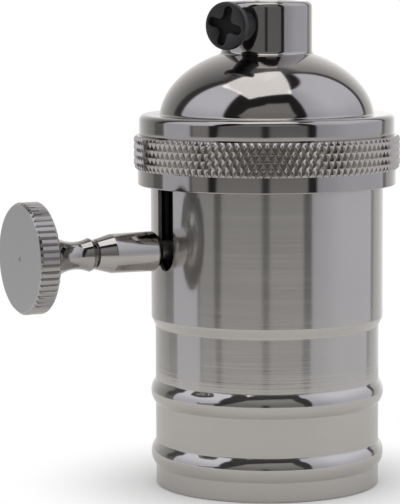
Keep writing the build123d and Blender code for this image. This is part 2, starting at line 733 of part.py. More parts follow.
# Shell rivets: through the screw shell's floor and the lamp base
with BuildPart() as shell_rivets:
    with BuildSketch(Plane.XY.offset(screw_floor_z - shell_rivet_head)):
        with PolarLocations(shell_rivet_circle, 2):
            Circle(shell_rivet_head_r)
    extrude(amount=shell_rivet_head)
    with BuildSketch(Plane.XY.offset(screw_floor_z)):
        with PolarLocations(shell_rivet_circle, 2):
            Circle(shell_rivet_r)
    extrude(amount=chamber_bottom_z - screw_floor_z)
    with BuildSketch(Plane.XY.offset(chamber_bottom_z)):
        with PolarLocations(shell_rivet_circle, 2):
            Circle(shell_rivet_head_r)
    extrude(amount=shell_rivet_head)
shell_rivets.part.label = "shell_rivets"
export_step(shell_rivets.part, "parts/shell_rivets.step")

# Clamp plates: square washers that press the wires on the tabs
with BuildPart() as clamp_plates:
    with BuildSketch(Plane.XY.offset(shoulder_z + leaf_thickness)):
        with Locations(line_screw, neutral_screw):
            Rectangle(clamp_side, clamp_side)
            Circle(terminal_screw_r, mode=Mode.SUBTRACT)
    extrude(amount=clamp_thickness)
clamp_plates.part.label = "clamp_plates"
export_step(clamp_plates.part, "parts/clamp_plates.step")

# Terminal screws: slotted round heads
with BuildPart() as terminal_screws:
    head_seat_z = shoulder_z + leaf_thickness + clamp_thickness
    with BuildSketch(Plane.XY.offset(head_seat_z - terminal_screw_length)):
        with Locations(line_screw, neutral_screw):
            Circle(terminal_screw_r)
    extrude(amount=terminal_screw_length)
    with BuildSketch(Plane.XY.offset(head_seat_z)):
        with Locations(line_screw, neutral_screw):
            Circle(terminal_head_r)
    extrude(amount=terminal_head_height)
    with BuildSketch(Plane.XY.offset(head_seat_z + terminal_head_height)):
        with Locations(line_screw, neutral_screw):
            Rectangle(2 * terminal_head_r, driver_slot_width)
    extrude(amount=-driver_slot_depth, mode=Mode.SUBTRACT)
terminal_screws.part.label = "terminal_screws"
export_step(terminal_screws.part, "parts/terminal_screws.step")

# Core screws: long screws that draw the lamp base up against the housing
with BuildPart() as core_screws:
    with BuildSketch(Plane.XY.offset(chamber_bottom_z - core_screw_bite)):
        with PolarLocations(core_screw_circle, 2, start_angle=core_screw_angle):
            Circle(core_screw_r)
    extrude(amount=shoulder_z - chamber_bottom_z + core_screw_bite)
    with BuildSketch(Plane.XY.offset(shoulder_z)):
        with PolarLocations(core_screw_circle, 2, start_angle=core_screw_angle):
            Circle(core_head_r)
    extrude(amount=core_head_height)
    with BuildSketch(Plane.XY.offset(shoulder_z + core_head_height)):
        with PolarLocations(core_screw_circle, 2, start_angle=core_screw_angle):
            Rectangle(driver_slot_width, 2 * core_head_r)
    extrude(amount=-driver_slot_depth, mode=Mode.SUBTRACT)
core_screws.part.label = "core_screws"
export_step(core_screws.part, "parts/core_screws.step")
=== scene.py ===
"""Turn knob lamp socket: the finish of every piece, and the studio that it stands in.

Metres, in the model's own frame: the socket stands on its rim at z = 0, its axis is Z and
the knob points along -X. Shop sizes below are in millimetres, as on a drawing.
"""

import math

import bmesh
import bpy
from bpy.props import FloatProperty, FloatVectorProperty, IntProperty, PointerProperty
from mathutils import Matrix, Vector


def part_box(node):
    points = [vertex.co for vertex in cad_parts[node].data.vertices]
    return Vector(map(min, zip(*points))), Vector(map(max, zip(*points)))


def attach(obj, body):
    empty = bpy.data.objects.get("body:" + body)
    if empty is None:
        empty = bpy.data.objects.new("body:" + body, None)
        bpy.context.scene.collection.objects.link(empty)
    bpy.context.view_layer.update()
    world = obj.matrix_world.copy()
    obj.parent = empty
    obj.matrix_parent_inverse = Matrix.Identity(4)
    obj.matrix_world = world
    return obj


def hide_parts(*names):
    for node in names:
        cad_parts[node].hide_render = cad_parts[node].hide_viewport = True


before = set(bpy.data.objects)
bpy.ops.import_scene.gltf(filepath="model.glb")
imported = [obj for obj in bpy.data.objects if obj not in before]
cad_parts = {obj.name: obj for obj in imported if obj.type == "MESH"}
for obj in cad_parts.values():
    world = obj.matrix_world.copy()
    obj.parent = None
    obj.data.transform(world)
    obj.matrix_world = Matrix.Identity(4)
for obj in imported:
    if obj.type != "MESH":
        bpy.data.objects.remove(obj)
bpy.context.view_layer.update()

bl_info = {
    "name": "Turn Knob Lamp Socket",
    "version": (1, 0, 0),
    "blender": (4, 5, 0),
    "location": "3D View > Sidebar > Lamp Socket",
    "description": "Gives a turn knob lamp socket its finishes and its studio",
    "category": "Object",
}

MM = 0.001


def drawn(node, corner, axis):
    """A coordinate of a piece's box in millimetres: corner 0 is its low one, 1 its high one."""
    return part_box(node)[corner][axis] / MM


# Shell sizes
SHELL_TOP = drawn("shell", 1, 2)
SHELL_WALL = 0.6
SHELL_R = 18.35
SHELL_STEP = 0.63
STEP_TOP = 26.7
STEP_HEIGHT = 1.3
STEP_ROUND = 0.8
BEADS = (4.95, 14.85)
BEAD_WIDTH = 3.8
BEAD_RISE = 0.74
BEAD_FOOT_ROUND = 0.2
SHELL_EDGE_ROUND = 0.12
SLOT_WIDTH = 4.85
SLOT_DROP = 3.2
SLOT_TURN = 2.3
SLOT_CUT_START = 12.0
SLOT_CUT_END = 20.0
BEAD_ARC_SHARE = 0.72
STRAIGHT_START = STEP_TOP + 1.5
CUT_MARGIN = 0.02

# Cap sizes
CAP_TOP = drawn("cap", 1, 2)
CAP_BOTTOM = drawn("cap", 0, 2)
CAP_BORE_R = 18.43
CAP_SHOULDER = 53.5
SKIRT_R = 20.38
SKIRT_HEIGHT = 2.5
SKIRT_ROUND = 0.2
KNURL_R = drawn("cap", 1, 0)
KNURL_WIDTH = 5.25
KNURL_CHAMFER = 0.4
KNURL_INNER_R = 20.0
BRIM_R = 20.13
BRIM_HEIGHT = 3.3
BRIM_ROUND = 0.9
DOME_R = 17.0
DOME_RISE = 11.7
DOME_SINK = 1.15
DOME_WALL = 1.5
DOME_CREASE_ROUND = 0.35
DOME_FOOT_TRIM = 3.0
DOME_NECK_TRIM = 2.5
DOME_STEPS = 40
DOME_INNER_STEPS = 24
NECK_R = 7.15
NECK_BORE_R = 4.46
NECK_TOP_ROUND = 0.9
NECK_FOOT_ROUND = 0.7
BORE_CHAMFER = 0.5
BAND_LAP = 0.1
BAND_INSET = 0.05
BRIM_RING = 0.9

# Cord grip screw sizes
GRIP_ANGLE = 28.9
GRIP_HEIGHT = 72.75
GRIP_SHANK_R = 2.45
GRIP_HEAD_R = 3.7
GRIP_HEAD_HEIGHT = 1.3
GRIP_HEAD_ROUND = 0.35
GRIP_HEAD_REACH = 11.8
GRIP_SHANK_END = 4.58
GRIP_TIP_ROUND = 0.2
GRIP_HOLE_R = 2.5
GRIP_DRILL_DEPTH = 12.0
CROSS_WIDTH = 1.5
CROSS_LENGTH = 6.3
CROSS_DEPTH = 0.85
CROSS_ROUND = 0.7
CROSS_TURN = 16.0
RECESS_LIP = 0.12
RECESS_MARGIN = 0.2

# Knob and sleeve sizes
SPINDLE_HEIGHT = 38.0
SPINDLE_R = 1.5
KNOB_REACH = -drawn("knob", 0, 0)
KNOB_R = (drawn("knob", 1, 2) - drawn("knob", 0, 2)) / 2
KNOB_WIDTH = 3.2
KNOB_CHAMFER = 0.38
KNOB_BACK_CHAMFER = 0.2
TOOTH_DEPTH = 0.36
TOOTH_GAP_SHARE = 0.48
CENTRE_MARK_R = 0.55
CENTRE_MARK_DEPTH = 0.08
CENTRE_MARK_SLOPE = 0.06
FACE_RINGS = (6.0, 3.0)
STEM_END = -drawn("knob", 1, 0)
STEM_END_R = 2.3
STEM_BEVEL = 0.75
STEM_BORE_DEPTH = 7.0
WAIST_REACH = STEM_END + 3.0
WAIST_R = 2.12
WAIST_CURVE_R = 5.8
FLARE_REACH = STEM_END + 8.2
SLEEVE_BACK = -drawn("knob_sleeve", 1, 0)
SLEEVE_NOSE = -drawn("knob_sleeve", 0, 0)
SLEEVE_BACK_R = 2.37
SLEEVE_BEVEL = 0.95
SLEEVE_R = 3.12
SLEEVE_TAPER_R = 3.03
SLEEVE_NOSE_LENGTH = 2.65
SLEEVE_NOSE_R = 2.3
SLEEVE_SHOULDER_ROUND = 0.5
SLEEVE_TAPER_ROUND = 0.9
SLEEVE_NOSE_ROUND = 0.2

# Small rounds and cuts that several pieces share
EDGE_BREAK = 0.1
EDGE_ROUND = 0.15
CUT_OVERSHOOT = 1.0
NEARLY_NOTHING = 0.001


class SocketSizes(bpy.types.PropertyGroup):
    """Sizes and counts that change how the pieces look."""
    turned_steps: IntProperty(
        name="Turned Steps", description="Flats around each turned piece", default=256, min=48, max=512
    )
    knurl_count: IntProperty(
        name="Knurl Count", description="Diamonds around the cap's knurled band",
        default=113, min=40, max=200,
    )
    knurl_depth: FloatProperty(
        name="Knurl Depth", description="Depth of the knurl's grooves", default=0.45 * MM, unit="LENGTH"
    )
    knob_teeth: IntProperty(
        name="Knob Teeth", description="Straight teeth around the knob's rim", default=51, min=20, max=120
    )


class SocketColours(bpy.types.PropertyGroup):
    """Colours of the finishes."""
    plate: FloatVectorProperty(
        name="Polished Plate", description="Dark nickel plate on the cap, sleeve and knob",
        default=(0.42, 0.40, 0.388), subtype="COLOR", size=3, min=0, max=1,
    )
    brushed: FloatVectorProperty(
        name="Brushed Plate", description="Dark nickel plate on the shell",
        default=(0.53, 0.512, 0.493), subtype="COLOR", size=3, min=0, max=1,
    )
    cut_edge: FloatVectorProperty(
        name="Cut Edge", description="Bare sheet on the slot's cut edge",
        default=(0.62, 0.61, 0.59), subtype="COLOR", size=3, min=0, max=1,
    )
    plastic: FloatVectorProperty(
        name="Grip Plastic", description="Black plastic of the cord grip screw",
        default=(0.010, 0.010, 0.011), subtype="COLOR", size=3, min=0, max=1,
    )
    fibre: FloatVectorProperty(
        name="Liner Fibre", description="Black fibre of the insulating liner",
        default=(0.012, 0.012, 0.012), subtype="COLOR", size=3, min=0, max=1,
    )
    phenolic: FloatVectorProperty(
        name="Phenolic", description="Black phenolic of the switch's mouldings",
        default=(0.016, 0.014, 0.013), subtype="COLOR", size=3, min=0, max=1,
    )
    brass: FloatVectorProperty(
        name="Brass", description="Brass of the contacts and rivets",
        default=(0.72, 0.53, 0.24), subtype="COLOR", size=3, min=0, max=1,
    )
    aluminium: FloatVectorProperty(
        name="Aluminium", description="Rolled sheet of the screw shell",
        default=(0.80, 0.80, 0.79), subtype="COLOR", size=3, min=0, max=1,
    )
    steel: FloatVectorProperty(
        name="Steel", description="Steel of the spindle, plates and long screws",
        default=(0.50, 0.495, 0.485), subtype="COLOR", size=3, min=0, max=1,
    )


class StudioSettings(bpy.types.PropertyGroup):
    """The camera and the light."""
    lens: FloatProperty(name="Lens", description="Focal length", default=179.37, unit="CAMERA")
    distance: FloatProperty(
        name="Distance", description="From the camera to the socket's axis", default=0.3987, unit="LENGTH"
    )
    heading: FloatProperty(
        name="Heading", description="Where the camera stands, round the socket",
        default=math.radians(-118.1), subtype="ANGLE",
    )
    pitch: FloatProperty(
        name="Pitch", description="How far the camera looks down",
        default=math.radians(6.5), subtype="ANGLE",
    )
    framing_turn: FloatProperty(
        name="Framing Turn", description="Turn to the left that sets the socket right of the middle",
        default=math.radians(1.535), subtype="ANGLE",
    )
    roll: FloatProperty(
        name="Roll", description="Tilt of the picture", default=math.radians(-0.23), subtype="ANGLE"
    )
    aim_height: FloatProperty(
        name="Aim Height", description="Height on the axis at the picture's middle",
        default=0.03677, unit="LENGTH",
    )
    room_level: FloatProperty(
        name="Room Level", description="Soft light from all round", default=0.8, min=0, max=2
    )
    top_power: FloatProperty(
        name="Top Light", description="Power of the soft light overhead", default=0.95, min=0, unit="POWER"
    )


class Wire:
    """A shader's socket, in plain sums and products. Without a socket it is a pen that adds nodes."""

    def __init__(self, tree, socket=None):
        self.tree = tree
        self.socket = socket

    def node(self, kind, settings=None, inputs=None, output=0):
        """Any node: its settings first, then a value or a wire for each socket. Gives one output."""
        made = self.tree.nodes.new(kind)
        for setting, value in (settings or {}).items():
            setattr(made, setting, value)
        for key, value in (inputs or {}).items():
            if isinstance(value, Wire):
                self.tree.links.new(value.socket, made.inputs[key])
            else:
                made.inputs[key].default_value = value
        return Wire(self.tree, made.outputs[output] if made.outputs else None)

    def vectors(self, operation, *values, output=0):
        """A Vector Math node."""
        return self.node("ShaderNodeVectorMath", {"operation": operation}, dict(enumerate(values)), output)

    def maths(self, operation, *values):
        """A Math node."""
        return self.node("ShaderNodeMath", {"operation": operation}, dict(enumerate(values)))

    def __add__(self, other):
        return self.maths("ADD", self, other)

    def __radd__(self, other):
        return self.maths("ADD", other, self)

    def __sub__(self, other):
        return self.maths("SUBTRACT", self, other)

    def __rsub__(self, other):
        return self.maths("SUBTRACT", other, self)

    def __mul__(self, other):
        return self.maths("MULTIPLY", self, other)

    def __rmul__(self, other):
        return self.maths("MULTIPLY", other, self)

    def above(self, low, high):
        """0 below low, 1 above high, and a soft rise between."""
        return self.node(
            "ShaderNodeMapRange", {"interpolation_type": "SMOOTHSTEP"},
            {"Value": self, "From Min": low, "From Max": high},
        )

    def below(self, low, high):
        """1 below low, 0 above high, and a soft fall between."""
        return 1 - self.above(low, high)

    def within(self, low, high, soft):
        """1 between low and high, with soft ends."""
        return self.above(low - soft, low + soft) * self.below(high - soft, high + soft)


def millimetres(pen, stretch=(1.0, 1.0, 1.0)):
    """The piece's own coordinates in millimetres, stretched along its axes."""
    place = pen.node("ShaderNodeTexCoord", output="Object")
    return pen.vectors("MULTIPLY", place, [value / MM for value in stretch])


def coordinate(place, axis):
    """One coordinate of a place."""
    return place.node("ShaderNodeSeparateXYZ", {}, {0: place}, output=axis)


def noise(pen, where, scale=1.0, detail=2.0, roughness=0.5):
    """Cloudy noise from 0 to 1."""
    inputs = {"Vector": where, "Scale": scale, "Detail": detail, "Roughness": roughness}
    return pen.node("ShaderNodeTexNoise", {}, inputs)


def mix(pen, share, first, second):
    """A colour between two, as far as share says."""
    first, second = [colour if isinstance(colour, Wire) else (*colour, 1.0) for colour in (first, second)]
    return pen.node("ShaderNodeMix", {"data_type": "RGBA"}, {0: share, 6: first, 7: second}, output=2)


def principled(pen, inputs):
    """The plain surface shader."""
    return pen.node("ShaderNodeBsdfPrincipled", {}, inputs)


def shade(colour, level):
    """A plain colour made darker or lighter."""
    return tuple(min(1.0, value * level) for value in colour)


def bumped(pen, height, depth):
    """A normal from a height, with its full depth in metres."""
    return pen.node("ShaderNodeBump", {}, {"Strength": 1.0, "Distance": depth, "Height": height})


def tipped(pen, tip):
    """The surface's own normal, tipped up or down by a slope, as fine lines round a turned piece do."""
    level = pen.node("ShaderNodeNewGeometry", output="Normal")
    lean = pen.node("ShaderNodeCombineXYZ", {}, {"X": 0.0, "Y": 0.0, "Z": tip})
    return pen.vectors("NORMALIZE", pen.vectors("ADD", level, lean))


def finish(name, write):
    """A material whose surface is written by a function of a pen and its tree."""
    made = bpy.data.materials.new(name)
    made.use_nodes = True
    made.node_tree.nodes.clear()
    pen = Wire(made.node_tree)
    surface = write(pen)
    pen.node("ShaderNodeOutputMaterial", {}, {"Surface": surface})
    return made


def polished_plate(colour, name="polished_plate"):
    """Dark nickel plate polished on the lathe: faint rings, clouds and hairlines, duller on the knurl, whose
    colour is lifted by a painted highlight.
    """
    def write(pen):
        place = millimetres(pen)
        knurl_bottom = CAP_BOTTOM + SKIRT_HEIGHT
        rolled = coordinate(place, "Z").within(knurl_bottom, knurl_bottom + KNURL_WIDTH, soft=0.1)
        clouds = noise(pen, place, 0.22, detail=3.0)
        rings = noise(pen, millimetres(pen, (0.02, 0.02, 9.0)))
        hairs = noise(pen, millimetres(pen, (0.9, 0.9, 14.0)), detail=4.0, roughness=0.7)
        plated = mix(pen, clouds, shade(colour, 0.94), shade(colour, 1.05))
        return principled(pen, {
            # the knurled band's colour is 15 percent lighter, a painted highlight on its facets; its added
            # roughness is real
            "Base Color": mix(pen, rolled, plated, shade(colour, 1.15)),
            "Metallic": 1.0,
            "Roughness": 0.045 + 0.05 * clouds + 0.03 * hairs + 0.08 * rolled,
            "Normal": bumped(pen, rings + 0.3 * hairs, 0.0000010),
        })
    return finish(name, write)


def brushed_plate(colour):
    """Dark nickel plate over fine lines turned round the shell, smoother on the beads and the step."""
    def write(pen):
        place = millimetres(pen)
        height = coordinate(place, "Z")
        smooth = height.within(STEP_TOP - STEP_HEIGHT, STEP_TOP, soft=0.3)
        for bead in BEADS:
            on_bead = height.within(bead - BEAD_WIDTH / 2, bead + BEAD_WIDTH / 2, soft=0.3)
            smooth = smooth.maths("MAXIMUM", smooth, on_bead)
        clouds = noise(pen, place, 0.15, detail=3.0)
        lines = noise(pen, millimetres(pen, (0.03, 0.03, 11.0)), detail=3.0, roughness=0.65)
        worn = mix(pen, lines * 0.4 + clouds * 0.6, shade(colour, 0.95), shade(colour, 1.04))
        sheen = principled(pen, {
            "Base Color": worn,
            "Metallic": 1.0,
            "Roughness": 0.10 + 0.02 * clouds - 0.05 * smooth,
            "Normal": tipped(pen, (lines - 0.5) * (0.09 - 0.07 * smooth)),
        })
        scatter = principled(pen, {"Base Color": worn, "Metallic": 1.0, "Roughness": 0.55})
        return pen.node("ShaderNodeMixShader", {}, {0: 0.25 - 0.18 * smooth, 1: sheen, 2: scatter})
    return finish("brushed_plate", write)


def cut_sheet(colour):
    """Bare sheet metal, rough from the punch."""
    def write(pen):
        grain = noise(pen, millimetres(pen, (1.0, 1.0, 2.5)), 5.0, detail=4.0, roughness=0.7)
        return principled(pen, {
            "Base Color": mix(pen, grain, shade(colour, 0.6), shade(colour, 1.15)),
            "Metallic": 1.0,
            "Roughness": 0.32 + 0.25 * grain,
            "Normal": bumped(pen, grain, 0.00004),
        })
    return finish("cut_sheet", write)


def knob_plate(colour):
    """The knob's plate: polished on the stem, satin on the flat face with a painted highlight, and darkened
    by painted shade on the disc's back, which faces the shell.
    """
    def write(pen):
        place = millimetres(pen)
        reach = -1.0 * coordinate(place, "X")
        across = coordinate(place, "Y")
        up = coordinate(place, "Z") - SPINDLE_HEIGHT
        square = across * across + up * up
        out = square.maths("SQRT", square)
        face = reach.above(KNOB_REACH - 0.12, KNOB_REACH - 0.02)
        clouds = noise(pen, place, 0.5, detail=3.0)
        spiral = noise(pen, pen.node("ShaderNodeCombineXYZ", {}, {0: out * 9.0, 1: clouds}))
        grain = noise(pen, place, 18.0, detail=3.0, roughness=0.6)
        back_reach = KNOB_REACH - KNOB_WIDTH
        # painted shade: the disc's back, which faces the shell, is darkened to a quarter of the plate's
        # colour
        back = reach.within(back_reach - 1.2, back_reach + 0.04, soft=0.03) * out.above(2.6, 3.4)
        # the flat face's colour is a lighter, neutral copy of the plate: a painted highlight, with the
        # neutral tint its own
        satin = (1.36 * colour[0],) * 3
        plated = mix(pen, face, mix(pen, clouds, shade(colour, 0.94), shade(colour, 1.06)), satin)
        return principled(pen, {
            "Base Color": mix(pen, back, plated, shade(colour, 0.25)),
            "Metallic": 1.0,
            "Roughness": 0.07 + 0.05 * clouds + face * (0.30 + 0.08 * grain),
            "Normal": bumped(pen, spiral * face + grain * (0.1 + 0.5 * face), 0.0000022),
        })
    return finish("knob_plate", write)


def moulded(name, colour, gloss, speckle):
    """Moulded plastic: a fine skin, slightly uneven gloss."""
    def write(pen):
        place = millimetres(pen)
        skin = noise(pen, place, 2.2, detail=3.0)
        grain = noise(pen, place, 14.0)
        return principled(pen, {
            "Base Color": mix(pen, grain, shade(colour, 1 - speckle), shade(colour, 1 + speckle)),
            "Roughness": gloss + 0.10 * skin + 0.05 * grain,
            "Normal": bumped(pen, skin + 0.3 * grain, 0.000006),
        })
    return finish(name, write)


def fibre_sheet(colour):
    """Rolled fibre: matt, with short fibres along the roll."""
    def write(pen):
        fibres = noise(pen, millimetres(pen, (6.0, 6.0, 1.0)), detail=4.0, roughness=0.65)
        return principled(pen, {
            "Base Color": mix(pen, fibres, shade(colour, 0.6), shade(colour, 1.7)),
            "Roughness": 0.62 + 0.2 * fibres,
            "Specular IOR Level": 0.3,
            "Normal": bumped(pen, fibres, 0.00003),
        })
    return finish("fibre_sheet", write)


def worked_metal(name, colour, roughness, stretch, depth):
    """Rolled, turned or plated metal: lines along the way that it was worked, and light tarnish."""
    def write(pen):
        lines = noise(pen, millimetres(pen, stretch), detail=3.0, roughness=0.6)
        tarnish = noise(pen, millimetres(pen), 0.6, detail=4.0, roughness=0.6).above(0.35, 0.75)
        worn = mix(pen, tarnish, colour, shade(colour, 0.72))
        return principled(pen, {
            "Base Color": mix(pen, lines * 0.25, worn, shade(colour, 0.6)),
            "Metallic": 1.0,
            "Roughness": roughness + 0.12 * lines + 0.10 * tarnish,
            "Normal": bumped(pen, lines, depth),
        })
    return finish(name, write)


def softened(corners, steps=6):
    """An outline from (radius, height, round) corners, each round drawn as an arc."""
    outline = []
    for number, (radius, height, round_r) in enumerate(corners):
        corner = Vector((radius, height))
        if not round_r:
            outline.append(tuple(corner))
            continue
        before = Vector(corners[number - 1][:2]) - corner
        after = Vector(corners[(number + 1) % len(corners)][:2]) - corner
        half = before.angle(after) / 2
        run = round_r / math.tan(half)
        inward = (before.normalized() + after.normalized()).normalized()
        middle = corner + inward * round_r / math.sin(half)
        start = corner + before.normalized() * run - middle
        sweep = start.angle_signed(corner + after.normalized() * run - middle)
        for step in range(steps + 1):
            turn = -sweep * step / steps
            point = middle + Matrix.Rotation(turn, 2) @ start
            outline.append(tuple(point))
    return outline


def arc(middle, radius, start, end, steps):
    """Points of an arc about (radius, height), in degrees."""
    points = []
    for step in range(steps + 1):
        turn = math.radians(start + (end - start) * step / steps)
        points.append((middle[0] + radius * math.cos(turn), middle[1] + radius * math.sin(turn), 0))
    return points


def dome_arc(base, radius, rise, low_turn, high_turn, steps):
    """Points of a dome's outline, part of an ellipse."""
    points = []
    for step in range(steps + 1):
        turn = math.radians(low_turn + (high_turn - low_turn) * step / steps)
        points.append((radius * math.cos(turn), base + rise * math.sin(turn), 0))
    return points


def evenly(steps):
    """Angles all round in equal steps."""
    return [2 * math.pi * step / steps for step in range(steps)]


def turned(name, outline, angles, place=Matrix.Identity(4), reach_at=None):
    """A piece of revolution: a closed outline of (radius, height) carried round the local Z axis."""
    points, faces, rings = [], [], []
    for radius, height in outline:
        ring = []
        for angle in (angles if radius > NEARLY_NOTHING else angles[:1]):
            out = reach_at(radius, height, angle) if reach_at else radius
            ring.append(len(points))
            points.append(place @ Vector((out * math.cos(angle), out * math.sin(angle), height)) * MM)
        rings.append(ring)
    count = len(angles)
    for number, ring in enumerate(rings):
        onward = rings[(number + 1) % len(rings)]
        for step in range(count):
            follow = (step + 1) % count
            corners = []
            for index in (ring[step % len(ring)], ring[follow % len(ring)],
                          onward[follow % len(onward)], onward[step % len(onward)]):
                if index not in corners:
                    corners.append(index)
            if len(corners) > 2:
                faces.append(corners)
    return as_object(name, points, faces)


def as_object(name, points, faces):
    """A mesh object with its faces turned outward, smooth with crisp edges."""
    mesh = bpy.data.meshes.new(name)
    mesh.from_pydata([tuple(point) for point in points], [], faces)
    work = bmesh.new()
    work.from_mesh(mesh)
    bmesh.ops.recalc_face_normals(work, faces=work.faces)
    work.to_mesh(mesh)
    work.free()
    made = bpy.data.objects.new(name, mesh)
    bpy.context.scene.collection.objects.link(made)
    crisp(made)
    return made


def crisp(piece, angle=32.0):
    """Smooth shading with sharp edges past an angle."""
    piece.data.shade_smooth()
    piece.data.set_sharp_from_angle(angle=math.radians(angle))


def set_modifiers(piece):
    """Makes the piece's modifiers final."""
    bpy.context.view_layer.update()
    seen = piece.evaluated_get(bpy.context.evaluated_depsgraph_get())
    mesh = bpy.data.meshes.new_from_object(seen)
    piece.modifiers.clear()
    piece.data = mesh


def cut(piece, cutter):
    """Takes the cutter out of the piece."""
    tool = piece.modifiers.new("cut", "BOOLEAN")
    tool.operation = "DIFFERENCE"
    tool.solver = "EXACT"
    tool.object = cutter
    set_modifiers(piece)
    bpy.data.objects.remove(cutter)
    crisp(piece)


def evened(piece):
    """Keeps the large faces flat beside their small rounds, so that reflections stay straight."""
    tool = piece.modifiers.new("even", "WEIGHTED_NORMAL")
    tool.mode = "FACE_AREA"
    tool.weight = 100
    tool.keep_sharp = True
    set_modifiers(piece)


def eased(piece, width, angle=40.0):
    """Breaks the piece's sharp edges, so that they catch the light."""
    tool = piece.modifiers.new("ease", "BEVEL")
    tool.width = width * MM
    tool.segments = 2
    tool.limit_method = "ANGLE"
    tool.angle_limit = math.radians(angle)
    tool.harden_normals = True
    set_modifiers(piece)


def facing(angle, reach=0.0, height=0.0):
    """Place that looks outward at this angle round from the knob, local Y up, in millimetres."""
    turn = math.radians(180 + angle)
    out = Vector((math.cos(turn), math.sin(turn), 0))
    side = Vector((-math.sin(turn), math.cos(turn), 0))
    place = Matrix((side, Vector((0, 0, 1)), out)).transposed().to_4x4()
    place.translation = out * reach + Vector((0, 0, height))
    return place


def prism(name, outline, low, high, place):
    """A straight bar of a flat outline, from low to high along the place's own Z."""
    points = [place @ Vector((*point, level)) * MM for level in (low, high) for point in outline]
    count = len(outline)
    faces = [list(range(count)), list(range(count, 2 * count))]
    for step in range(count):
        follow = (step + 1) % count
        faces.append([step, follow, count + follow, count + step])
    return as_object(name, points, faces)


def joined(piece, other):
    """Adds the other piece's mesh to the piece."""
    work = bmesh.new()
    work.from_mesh(piece.data)
    work.from_mesh(other.data)
    work.to_mesh(piece.data)
    work.free()
    bpy.data.objects.remove(other)


def dress(piece, material, body, node):
    """Finishes a piece that stands for a node."""
    evened(piece)
    piece.data.materials.clear()
    piece.data.materials.append(material)
    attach(piece, body)
    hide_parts(node)


def cap_outline():
    """The cap's closed half outline, outside upward from the skirt and back down inside."""
    knurl_bottom = CAP_BOTTOM + SKIRT_HEIGHT
    knurl_top = knurl_bottom + KNURL_WIDTH
    brim_top = knurl_top + BRIM_HEIGHT
    dome_base = brim_top - DOME_SINK
    band_r = KNURL_INNER_R + BAND_LAP
    foot_turn = math.degrees(math.asin(DOME_SINK / DOME_RISE))
    neck_turn = math.degrees(math.acos(NECK_R / DOME_R))
    foot = dome_arc(dome_base, DOME_R, DOME_RISE, foot_turn, foot_turn, steps=1)[0]
    top = dome_arc(dome_base, DOME_R, DOME_RISE, neck_turn, neck_turn, steps=1)[0]
    inner_r = DOME_R - DOME_WALL
    bore_turn = math.degrees(math.acos(NECK_BORE_R / inner_r))
    corners = [
        (CAP_BORE_R, CAP_BOTTOM, EDGE_BREAK),
        (SKIRT_R, CAP_BOTTOM, SKIRT_ROUND), (SKIRT_R, knurl_bottom, 0),
        (band_r, knurl_bottom + BAND_INSET, 0), (band_r, knurl_top - BAND_INSET, 0),
        (BRIM_R, knurl_top, 0), (BRIM_R, knurl_top + BRIM_RING, 0), (BRIM_R, brim_top, BRIM_ROUND),
        (foot[0], brim_top, DOME_CREASE_ROUND),
        *dome_arc(
            dome_base, DOME_R, DOME_RISE, foot_turn + DOME_FOOT_TRIM, neck_turn - DOME_NECK_TRIM, DOME_STEPS,
        ),
        (NECK_R, top[1], NECK_FOOT_ROUND), (NECK_R, GRIP_HEIGHT, 0), (NECK_R, CAP_TOP, NECK_TOP_ROUND),
        (NECK_BORE_R + BORE_CHAMFER, CAP_TOP, EDGE_ROUND),
        (NECK_BORE_R, CAP_TOP - BORE_CHAMFER, EDGE_BREAK), (NECK_BORE_R, GRIP_HEIGHT, 0),
        *dome_arc(dome_base, inner_r, DOME_RISE - DOME_WALL, bore_turn, 0, DOME_INNER_STEPS),
        (inner_r, CAP_SHOULDER, 0), (CAP_BORE_R, CAP_SHOULDER, 0),
    ]
    return softened(corners)


def knurled_band(sizes):
    """Ring of flat-topped diamonds rolled round the cap, cut down in a chamfer at each edge."""
    cells = 8
    rows = 18
    flat = 0.75
    low = CAP_BOTTOM + SKIRT_HEIGHT
    depth = sizes.knurl_depth / MM
    columns = cells * sizes.knurl_count

    def rise(along):
        return 1 - 2 * abs(along % 1 - 0.5)

    def radius_at(column, row):
        across, up = column / cells, row / cells
        share = min(rise(across + up + 0.5), rise(across - up + 0.5), flat) / flat
        edge = min(row, rows - row) * KNURL_WIDTH / rows
        return min(KNURL_R - depth * (1 - share), KNURL_R - KNURL_CHAMFER + edge)

    def point_at(column, radius, height):
        angle = 2 * math.pi * column / columns
        return Vector((radius * math.cos(angle), radius * math.sin(angle), height)) * MM

    points = []
    for row in range(rows + 1):
        height = low + KNURL_WIDTH * row / rows
        points += [point_at(column, radius_at(column, row), height) for column in range(columns)]
    for height in (low + KNURL_WIDTH, low):
        points += [point_at(column, KNURL_INNER_R, height) for column in range(columns)]
    faces = []
    for row in range(rows + 3):
        onward = (row + 1) % (rows + 3)
        for column in range(columns):
            follow = (column + 1) % columns
            near, near_next = row * columns + column, row * columns + follow
            far, far_next = onward * columns + column, onward * columns + follow
            middle, level = (column + 0.5) / cells, (row + 0.5) / cells
            if row >= rows:
                faces.append([near, near_next, far_next, far])
            elif rise(middle + level + 0.5) < rise(middle - level + 0.5):
                faces.extend([[near, near_next, far], [near_next, far_next, far]])
            else:
                faces.extend([[near, near_next, far_next], [near, far_next, far]])
    band = as_object("knurled_band", points, faces)
    band.data.shade_flat()
    return band


